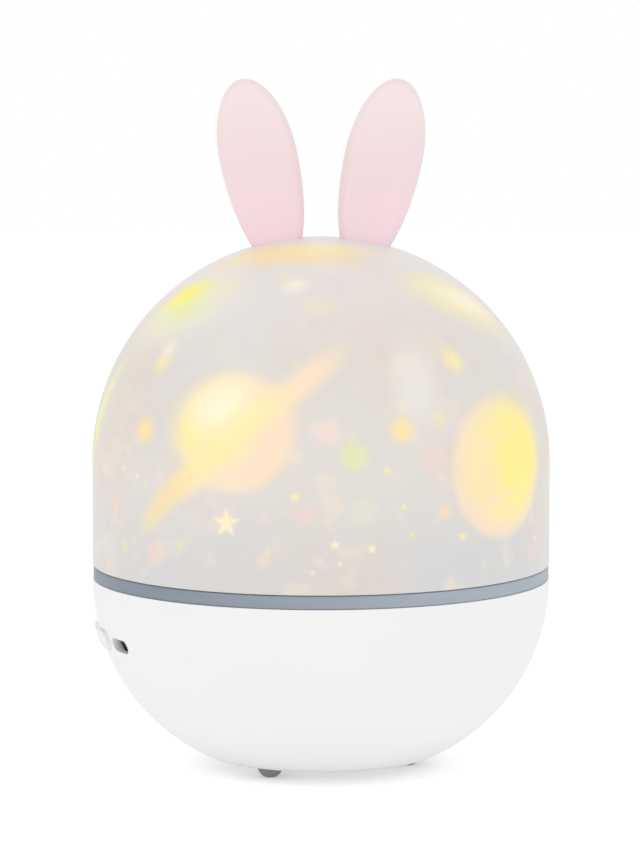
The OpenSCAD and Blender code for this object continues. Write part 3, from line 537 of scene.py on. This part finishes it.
def sky_with_painted_glow(tree, shader, place, blur, ground, glow):
    """Lays the night sky on a ground; its shapes get a painted glow, emission that stands in for
    the lamp's light.
    """
    sky = use_group(tree, night_sky, Place=place, Blur=blur, Ground=ground)
    coloured(tree, shader, sky["Colour"])
    lit = maths(tree, "MULTIPLY", sky["Glow"], glow)
    tree.links.new(scaled(tree, sky["Colour"], lit), shader.inputs["Emission Color"])
    shader.inputs["Emission Strength"].default_value = 1


def make_frosted_cover():
    """Frosted plastic with the night sky on it as painted light, more blurred towards the top; its
    ground is painted lighter towards the top, as painted shading.
    """
    material, tree, shader = new_material("frosted_cover")
    place = object_place(tree)
    height = height_in(tree, place)
    to_middle, to_high = spread(tree, height, *PAINTED_SHADE_LOW), spread(tree, height, *PAINTED_SHADE_HIGH)
    # Painted shading: the ground is painted lighter upwards, from its low tone to its middle and
    # high ones
    cool = mixed(tree, to_middle, srgb(217, 216, 216), srgb(226, 221, 215))
    cool = mixed(tree, to_high, cool, srgb(233, 232, 230))
    warm = mixed(tree, to_middle, srgb(222, 214, 208), srgb(228, 216, 207))
    warm = mixed(tree, to_high, warm, srgb(235, 224, 219))
    cloud = add_node(tree, "ShaderNodeTexNoise", place, None, 26.0, 2.0).outputs[0]
    ground = mixed(tree, spread(tree, cloud, 0.40, 0.70), cool, warm)
    speck = add_node(tree, "ShaderNodeTexNoise", place, None, 130.0, 1.0).outputs[0]
    speck = maths(tree, "MULTIPLY", spread(tree, speck, 0.54, 0.78), 0.42)
    ground = mixed(tree, speck, ground, srgb(247, 232, 208))
    ground = mottled(tree, place, 40.0, 0.03, ground)
    blur = spread(tree, height, 0.063, 0.141, 0.8, 1.8)
    sky_with_painted_glow(tree, shader, place, blur, ground, COVER_PAINTED_GLOW)
    glossed(tree, shader, place, 40.0, 0.30, 0.38)
    textured(tree, shader, 0.01 * MM, 3000.0)
    return material


def make_printed_film():
    """The dark film, with the same night sky printed crisply on it, and a painted glow on its
    shapes.
    """
    material, tree, shader = new_material("printed_film")
    place = object_place(tree)
    ground = mottled(tree, place, 30.0, 0.15, srgb(52, 56, 92))
    sky_with_painted_glow(tree, shader, place, 0.18, ground, FILM_PAINTED_GLOW)
    glossed(tree, shader, place, 50.0, 0.18, 0.26)
    return material


def make_silver_trim():
    """Satin silver paint with fine lines that run round the ring; painted shading makes it darker
    at the left and lighter towards the right.
    """
    material, tree, shader = new_material("silver_trim")
    place = object_place(tree)
    stretched = add_node(tree, "ShaderNodeMapping", place, None, None, (1.0, 1.0, 40.0)).outputs[0]
    across = add_node(tree, "ShaderNodeSeparateXYZ", place).outputs[0]
    # Painted shading: darker at the left and lighter at the right, as the lamps light the ring
    tint = mixed(tree, spread(tree, across, -BODY_RADIUS, BODY_RADIUS),
                 srgb(136, 146, 157), srgb(170, 179, 190))
    coloured(tree, shader, mottled(tree, stretched, 28.0, 0.14, tint))
    glossed(tree, shader, place, 60.0, 0.38, 0.48)
    shader.inputs["Metallic"].default_value = 0.3
    shader.inputs["Specular IOR Level"].default_value = 0.25
    textured(tree, shader, 0.01 * MM, 3500.0)
    return material


def make_ear_silicone():
    """Pink silicone, deeper towards the dome and paler at the tips; near the dome it is also
    painted lighter, as painted light against the shade at its root.
    """
    material, tree, shader = new_material("ear_silicone")
    place = object_place(tree)
    height = height_in(tree, place)
    # Painted light: the colour near the dome is lifted above the middle tone, against the shade
    # where the ear meets the dome
    tint = mixed(tree, spread(tree, height, *EAR_MIDDLE), srgb(250, 222, 231), srgb(243, 221, 225))
    tint = mixed(tree, spread(tree, height, *EAR_TIPS), tint, srgb(245, 229, 228))
    coloured(tree, shader, mottled(tree, place, 45.0, 0.03, tint))
    glossed(tree, shader, place, 50.0, 0.52, 0.62)
    shader.inputs["Sheen Weight"].default_value = 0.15
    textured(tree, shader, 0.02 * MM, 2600.0)
    return material


def make_board_green():
    """Solder mask with faint copper tracks under it."""
    material, tree, shader = new_material("board_green")
    place = object_place(tree)
    tracks = tree.nodes.new("ShaderNodeTexBrick")
    fill(tree, tracks.inputs["Vector"], place)
    for name, value in {"Scale": 130.0, "Mortar Size": 0.035, "Mortar Smooth": 0.1,
                        "Color1": srgb(24, 92, 52), "Color2": srgb(28, 100, 58),
                        "Mortar": srgb(62, 138, 74)}.items():
        tracks.inputs[name].default_value = value
    coloured(tree, shader, mottled(tree, place, 90.0, 0.12, tracks.outputs["Color"]))
    glossed(tree, shader, place, 70.0, 0.28, 0.42)
    textured(tree, shader, 0.03 * MM, 900.0)
    return material


def make_port_steel():
    """The charging socket: a bright steel mouth, and dark further in."""
    material, tree, shader = new_material("port_steel")
    port = next(mount for mount in frame["record"]["mounts"] if mount["name"] == "charging_port")
    place = object_place(tree)
    out = vectors(tree, "DOT_PRODUCT", place, tuple(port["axis"]))
    mouth = Vector(port["axis"]).dot(Vector(port["pos_m"]))
    inside = spread(tree, out, mouth - PORT_BRIGHT, mouth - PORT_DARK)
    tint = mixed(tree, inside, srgb(170, 172, 176), srgb(20, 20, 22))
    coloured(tree, shader, mottled(tree, place, 60.0, 0.08, tint))
    tree.links.new(maths(tree, "SUBTRACT", 1.0, inside), shader.inputs["Metallic"])
    glossed(tree, shader, place, 60.0, 0.34, 0.46)
    shader.inputs["Specular IOR Level"].default_value = 0.2
    textured(tree, shader, 0.02 * MM, 2500.0)
    return material


MATERIALS = {
    "white_shell": finish("white_shell", (243, 243, 243), 0.36, uneven=0.008, patch_scale=25.0),
    "white_inner": finish("white_inner", (232, 232, 230), 0.42),
    "button_white": finish("button_white", (240, 240, 241), 0.32, uneven=0.01),
    "foot_rubber": finish("foot_rubber", (143, 143, 145), 0.75, uneven=0.08, grain_scale=1800.0),
    "screw_steel": finish("screw_steel", (196, 198, 202), 0.28, uneven=0.08, metallic=1.0),
    "clear_shell": finish("clear_shell", (247, 250, 252), 0.06, uneven=0.0, grain_depth=0,
                          clear=1.0),
    "clear_lens": finish("clear_lens", (250, 251, 252), 0.05, uneven=0.0, grain_depth=0,
                         clear=1.0),
    "board_white": finish("board_white", (238, 236, 228), 0.40, uneven=0.03),
    "led_yellow": finish("led_yellow", (246, 206, 70), 0.30, uneven=0.05, coat=0.6),
    "gear_plastic": finish("gear_plastic", (238, 230, 208), 0.45, uneven=0.03),
    "motor_steel": finish("motor_steel", (184, 186, 190), 0.34, uneven=0.10, metallic=1.0),
    "shaft_steel": finish("shaft_steel", (206, 208, 212), 0.20, uneven=0.06, metallic=1.0),
    "chip_black": finish("chip_black", (38, 38, 41), 0.48, uneven=0.12),
    "connector_white": finish("connector_white", (233, 230, 218), 0.45, uneven=0.03),
    "port_steel": make_port_steel(),
    "cell_wrap": finish("cell_wrap", (72, 120, 176), 0.30, uneven=0.05, coat=0.3),
    "foam_pad": finish("foam_pad", (120, 120, 122), 0.95, uneven=0.20, grain_depth=0.15 * MM,
                       grain_scale=700.0),
    "lead_red": finish("lead_red", (188, 40, 36), 0.45, uneven=0.06),
    "lead_blue": finish("lead_blue", (36, 62, 140), 0.45, uneven=0.06),
    "lead_orange": finish("lead_orange", (226, 128, 34), 0.45, uneven=0.06),
    "frosted_cover": make_frosted_cover(),
    "printed_film": make_printed_film(),
    "silver_trim": make_silver_trim(),
    "ear_silicone": make_ear_silicone(),
    "board_green": make_board_green(),
}
NODE_SLOTS = {part["node"]: part["material_slot"] for part in frame["record"]["subparts"]}


# ---- Modelling helpers ----

WELD = 0.002 * MM           # points closer than this become one
FLAT = 0.4                  # and faces that meet at less than this, in degrees


def pick(first, *others):
    """Selects these pieces alone, with the first one active."""
    bpy.ops.object.select_all(action="DESELECT")
    for piece in (first, *others):
        piece.select_set(True)
    bpy.context.view_layer.objects.active = first


def edit(piece):
    """Goes into edit mode on one piece, point by point."""
    pick(piece)
    bpy.ops.object.mode_set(mode="EDIT")
    bpy.ops.mesh.select_mode(type="VERT")


def leave_edit():
    bpy.ops.object.mode_set(mode="OBJECT")


def apply_modifier(piece, kind, **settings):
    modifier = piece.modifiers.new(kind.lower(), kind)
    for name, value in settings.items():
        setattr(modifier, name, value)
    bpy.context.view_layer.objects.active = piece
    bpy.ops.object.modifier_apply(modifier=modifier.name)


def rounded(piece, width, segments=3, angle=35):
    """Rounds the edges that are sharper than the angle."""
    apply_modifier(piece, "BEVEL", width=width, segments=segments, limit_method="ANGLE",
                   angle_limit=math.radians(angle), use_clamp_overlap=True, harden_normals=False)


def smoothed(piece, angle=40):
    """Shades a piece smoothly, except across edges sharper than the angle."""
    pick(piece)
    bpy.ops.object.shade_smooth_by_angle(angle=math.radians(angle))


def placed(piece):
    """Puts a piece's place into its mesh."""
    pick(piece)
    bpy.ops.object.transform_apply(location=True, rotation=True, scale=True)


def joined(first, *others):
    pick(first, *others)
    bpy.ops.object.join()
    return first


def turned(name, outline, steps=160):
    """A piece turned on the lamp's axis from its outline of (radius, height) points."""
    start = outline[0]
    bpy.ops.mesh.primitive_plane_add(size=MM, location=(start[0], 0, start[1]))
    piece = bpy.context.object
    piece.name = piece.data.name = name
    placed(piece)
    edit(piece)
    bpy.ops.mesh.select_all(action="SELECT")
    bpy.ops.mesh.merge(type="CENTER")
    for (r0, z0), (r1, z1) in zip(outline, outline[1:]):
        bpy.ops.mesh.extrude_vertices_move(TRANSFORM_OT_translate={"value": (r1 - r0, 0, z1 - z0)})
    bpy.ops.mesh.select_all(action="SELECT")
    bpy.ops.mesh.spin(steps=steps, angle=2 * math.pi, center=(0, 0, 0), axis=(0, 0, 1))
    bpy.ops.mesh.select_all(action="SELECT")
    bpy.ops.mesh.remove_doubles(threshold=WELD)
    bpy.ops.mesh.normals_make_consistent(inside=False)
    leave_edit()
    return piece


def stands_for(piece, body, *nodes):
    """Hands a finished piece over: its material, the body it rides on and the nodes it replaces."""
    slot = NODE_SLOTS[nodes[0]]
    piece.data.materials.clear()
    piece.data.materials.append(MATERIALS[slot])
    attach(piece, body)
    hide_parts(*nodes)


def refined(node, rounding=0.0, segments=2, angle=35):
    """A copy of a node's solid, smoothly shaded, with its sharp edges eased."""
    source = frame["nodes"][node]
    piece = source.copy()
    piece.data = source.data.copy()
    piece.parent = None
    piece.name = piece.data.name = node + "_finished"
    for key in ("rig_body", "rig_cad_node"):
        if key in piece:
            del piece[key]
    bpy.context.scene.collection.objects.link(piece)
    edit(piece)
    bpy.ops.mesh.select_all(action="SELECT")
    bpy.ops.mesh.remove_doubles(threshold=WELD)
    bpy.ops.mesh.dissolve_limited(angle_limit=math.radians(FLAT))
    leave_edit()
    if piece.data.has_custom_normals:
        bpy.ops.mesh.customdata_custom_splitnormals_clear()
    if rounding:
        rounded(piece, rounding, segments, angle)
    smoothed(piece)
    return piece


# ---- Pieces ----

def make_cover():
    """The frosted dome: a straight wall under a two-arc crown, open below."""
    foot, top = cover_low.z, cover_high.z
    outside = crown_outline(BODY_RADIUS, top, CROWN_HEIGHT, CROWN_EASE, 0)
    inside = crown_outline(BODY_RADIUS, top, CROWN_HEIGHT, CROWN_EASE, COVER_WALL)
    outline = inside[::-1] + [(BODY_RADIUS - COVER_WALL, foot), (BODY_RADIUS, foot)] + outside
    piece = turned("frosted_dome", outline)
    rounded(piece, 0.35 * MM, 3, 60)
    smoothed(piece)
    stands_for(piece, "cover", "dome_cover")


RING_WIDTH = 4.1 * MM       # from the ring's outer face to its inner one
RING_LIP = (3.8 * MM, 2.5 * MM)  # the same to the faces of its lip
RING_BEVEL = 0.35 * MM


def make_ring():
    """The trim ring, with bevelled outer edges and the lip that centres it in the bowl."""
    low, high, rim, outer = ring_low.z, ring_high.z, bowl_high.z, ring_high.x
    inner, edge = outer - RING_WIDTH, outer - RING_BEVEL
    lip_in, lip_out = [outer - face for face in RING_LIP]
    piece = turned("silver_ring", [
        (inner, rim), (lip_in, rim), (lip_in, low), (lip_out, low), (lip_out, rim), (edge, rim),
        (outer, rim + RING_BEVEL), (outer, high - RING_BEVEL), (edge, high), (inner, high),
        (inner, rim)])
    rounded(piece, 0.1 * MM, 2)
    smoothed(piece)
    stands_for(piece, "base", "trim_ring")


EAR_HALF_WIDTH = 11 * MM
EAR_WAIST = 24 * MM         # height of the widest place above the dome
EAR_UPPER = 22.7 * MM
EAR_LOWER = 32.5 * MM
EAR_LONG = 28 * MM          # the mean of the last two
EAR_LEAN = 12.6             # degrees outwards
EAR_ROOT = 12.4 * MM        # distance of the root from the lamp's axis
EAR_SUNK = 1.2 * MM         # how far the blade stands in the cover's wall
EAR_ROUND = 2.6 * MM        # how far the rounding of the edge reaches in
EAR_FLAT = 3.9 * MM         # half the thickness where the rounding ends
EAR_STEPS = 9               # of the rounding
EAR_CROWN = [(4.0, 0.22), (5.8, 0.16), (8.0, 0.1)]  # the face's last steps: how far in, and out by
EAR_HOLD = [("tongue", (9, 3.4, 3.6), -2.4), ("barb", (12, 5.8, 1.8), -3.7)]  # size, and height


def select_half(piece, upper):
    """Selects the points above, or below, the middle of the outline."""
    bpy.ops.mesh.select_all(action="DESELECT")
    leave_edit()
    for vertex in piece.data.vertices:
        vertex.select = (vertex.co.z >= 0) == upper
    bpy.ops.object.mode_set(mode="EDIT")


def grow(inward, outward):
    """One step of the ear's face: outwards, and in from the outline by as much all round."""
    bpy.ops.mesh.extrude_region_move(TRANSFORM_OT_translate={"value": (0, -outward, 0)})
    bpy.ops.transform.resize(value=(1 - inward / EAR_HALF_WIDTH, 1, 1 - inward / EAR_LONG),
                             center_override=(0, 0, EAR_WAIST))


def make_ear(name, side, node):
    """A soft ear: one half grows in steps from its outline, and is mirrored and set in place."""
    bpy.ops.mesh.primitive_circle_add(vertices=112, radius=1, fill_type="NGON",
                                      rotation=(math.pi / 2, 0, 0))
    piece = bpy.context.object
    piece.name = piece.data.name = name
    placed(piece)
    edit(piece)
    for upper, reach in ((True, EAR_UPPER), (False, EAR_LOWER)):
        select_half(piece, upper)
        bpy.ops.transform.resize(value=(EAR_HALF_WIDTH, 1, reach), center_override=(0, 0, 0))
    bpy.ops.mesh.select_all(action="SELECT")
    bpy.ops.transform.translate(value=(0, 0, EAR_WAIST))
    bpy.ops.mesh.normals_make_consistent(inside=False)
    bpy.ops.mesh.select_mode(type="FACE")
    bpy.ops.mesh.select_all(action="SELECT")
    done_in, done_out = 0, 0
    for k in range(1, EAR_STEPS + 1):
        turn = math.pi / 2 * k / EAR_STEPS
        to_in, to_out = EAR_ROUND * (1 - math.cos(turn)), EAR_FLAT * math.sin(turn)
        grow(EAR_HALF_WIDTH * (to_in - done_in) / (EAR_HALF_WIDTH - done_in), to_out - done_out)
        done_in, done_out = to_in, to_out
    for to_in, outward in EAR_CROWN:
        grow(EAR_HALF_WIDTH * (to_in * MM - done_in) / (EAR_HALF_WIDTH - done_in), outward * MM)
        done_in = to_in * MM
    bpy.ops.mesh.select_all(action="DESELECT")
    leave_edit()
    for face in piece.data.polygons:  # the flat face it grew from would be left inside
        face.select = abs(face.center.y) < 0.001 * MM
    bpy.ops.object.mode_set(mode="EDIT")
    bpy.ops.mesh.delete(type="ONLY_FACE")
    leave_edit()
    apply_modifier(piece, "MIRROR", use_axis=(False, True, False), merge_threshold=0.01 * MM)
    edit(piece)
    bpy.ops.mesh.select_all(action="SELECT")
    bpy.ops.mesh.bisect(plane_co=(0, 0, -EAR_SUNK), plane_no=(0, 0, -1), clear_outer=True,
                        use_fill=True)
    bpy.ops.mesh.select_all(action="SELECT")
    bpy.ops.mesh.normals_make_consistent(inside=False)
    leave_edit()
    smoothed(piece, 60)
    cap_at, cap = crown(BODY_RADIUS, cover_high.z, CROWN_HEIGHT, CROWN_EASE)[2:]
    piece = joined(piece, *[make_box(*block) for block in EAR_HOLD])
    piece.rotation_euler = (0, side * math.radians(EAR_LEAN), 0)
    piece.location = (side * EAR_ROOT, 0, cap_at[1] + math.sqrt(cap ** 2 - EAR_ROOT ** 2))
    placed(piece)
    stands_for(piece, "cover", node)


def make_box(name, size, height):
    """A block with eased edges, in millimetres, centred over the origin at a height."""
    bpy.ops.mesh.primitive_cube_add(size=MM, location=(0, 0, height * MM), scale=size)
    piece = bpy.context.object
    piece.name = name
    placed(piece)
    rounded(piece, 0.3 * MM, 2, 60)
    smoothed(piece)
    return piece


FOOT_RADIUS = 3.7 * MM
FOOT_TIP = 1.5 * MM         # radius of the flat it stands on
FOOT_OUT = 25 * MM          # from the lamp's axis
FOOT_TURNS = (-5, 115, 235)
FOOT_STEPS = 14             # of its arc


def make_feet():
    """Three rubber feet: each is a low ball with a flat tip, set in its recess."""
    height = bowl_low.z
    centre = (FOOT_RADIUS ** 2 + height ** 2 - FOOT_TIP ** 2) / (2 * height)
    ball = math.sqrt(FOOT_TIP ** 2 + centre ** 2)
    rises = [height * k / FOOT_STEPS for k in range(FOOT_STEPS + 1)]
    arc = [(math.sqrt(ball ** 2 - (centre - rise) ** 2), rise) for rise in rises]
    feet = []
    for turn in FOOT_TURNS:
        foot = turned("foot", [(0, 0)] + arc + [(FOOT_RADIUS, feet_high.z), (0, feet_high.z)], 48)
        rounded(foot, 0.25 * MM, 3, 40)
        smoothed(foot)
        angle = math.radians(turn)
        foot.location = (FOOT_OUT * math.cos(angle), FOOT_OUT * math.sin(angle), 0)
        placed(foot)
        feet.append(foot)
    piece = joined(*feet)
    piece.name = piece.data.name = "feet"
    stands_for(piece, "base", "rubber_feet")


# How far each node's edges are eased, in millimetres; 0 leaves them as they are
EASED = {
    "bowl_shell": 0.25, "top_deck": 0.2, "power_button": 0.45, "colour_button": 0.45,
    "rotation_button": 0.45, "timer_button": 0.45, "usb_socket": 0.08, "turntable": 0.0,
    "led_post": 0.15, "led_board": 0.1, "led_chips": 0.15, "led_lens": 0.15, "motor_gearbox": 0.25,
    "motor_can": 0.6, "main_board": 0.1, "board_parts": 0.15, "board_connectors": 0.2,
    "push_switches": 0.15, "case_screws": 0.12, "post_screws": 0.1, "lens_screws": 0.1,
    "motor_screws": 0.12, "board_screws": 0.1, "output_shaft": 0.0, "drive_pinion": 0.1,
    "battery_cell": 0.4, "battery_pad": 0.3, "inner_film_dome": 0.0, "projection_film": 0.0,
    "outer_film_dome": 0.1, "battery_leads": 0.0, "motor_leads": 0.0, "led_leads": 0.0,
}


def make_rest():
    """Every other node keeps its solid, with eased edges and smooth shading."""
    groups = frame["record"]["behaviour"]["bodies"].items()
    bodies = {node: body for body, nodes in groups for node in nodes}
    for node, ease in EASED.items():
        stands_for(refined(node, ease * MM), bodies[node], node)


def make_floor():
    """A white floor that keeps a soft shadow of the lamp; it is clear when seen from below."""
    bpy.ops.mesh.primitive_circle_add(vertices=96, radius=FLOOR_RADIUS, fill_type="NGON")
    floor = bpy.context.object
    floor.name = "floor"
    material, tree, shader = new_material("white_floor")
    shader.inputs["Base Color"].default_value = (FLOOR_BOUNCE, FLOOR_BOUNCE, FLOOR_BOUNCE, 1)
    shader.inputs["Roughness"].default_value = 1
    shader.inputs["Specular IOR Level"].default_value = 0
    shader.inputs["Emission Color"].default_value = (1, 1, 1, 1)
    seen = tree.nodes.new("ShaderNodeLightPath").outputs["Is Camera Ray"]
    glow = spread(tree, seen, 0.0, 1.0, FLOOR_GLOW, FLOOR_SEEN)
    tree.links.new(glow, shader.inputs["Emission Strength"])
    below = tree.nodes.new("ShaderNodeNewGeometry").outputs["Backfacing"]
    clear = tree.nodes.new("ShaderNodeBsdfTransparent").outputs[0]
    surface = add_node(tree, "ShaderNodeMixShader", below, shader.outputs[0], clear).outputs[0]
    tree.links.new(surface, tree.nodes["Material Output"].inputs["Surface"])
    floor.data.materials.append(material)


def light_world():
    """White to the camera and in reflections, and an even soft light on everything else."""
    world = bpy.data.worlds.new("studio")
    bpy.context.scene.world = world
    world.use_nodes = True
    tree = world.node_tree
    path = tree.nodes.new("ShaderNodeLightPath").outputs
    seen = maths(tree, "MAXIMUM", path["Is Camera Ray"],
                 maths(tree, "MAXIMUM", path["Is Glossy Ray"], path["Is Transmission Ray"]))
    strength = spread(tree, seen, 0.0, 1.0, AMBIENT, 1.0)
    background = tree.nodes["Background"]
    background.inputs["Color"].default_value = (1, 1, 1, 1)
    tree.links.new(strength, background.inputs["Strength"])


set_camera()
light_world()
make_floor()
soft_light("left_softbox", (-1.1, -1.0, 0.9), (0.8, 1.0), 3.0)
soft_light("right_softbox", (1.2, -0.8, 0.7), (0.7, 1.0), 2.0)
bpy.context.scene.view_settings.view_transform = "Standard"

make_cover()
make_ring()
make_ear("ear_left", -1, "left_ear")
make_ear("ear_right", 1, "right_ear")
make_feet()
make_rest()
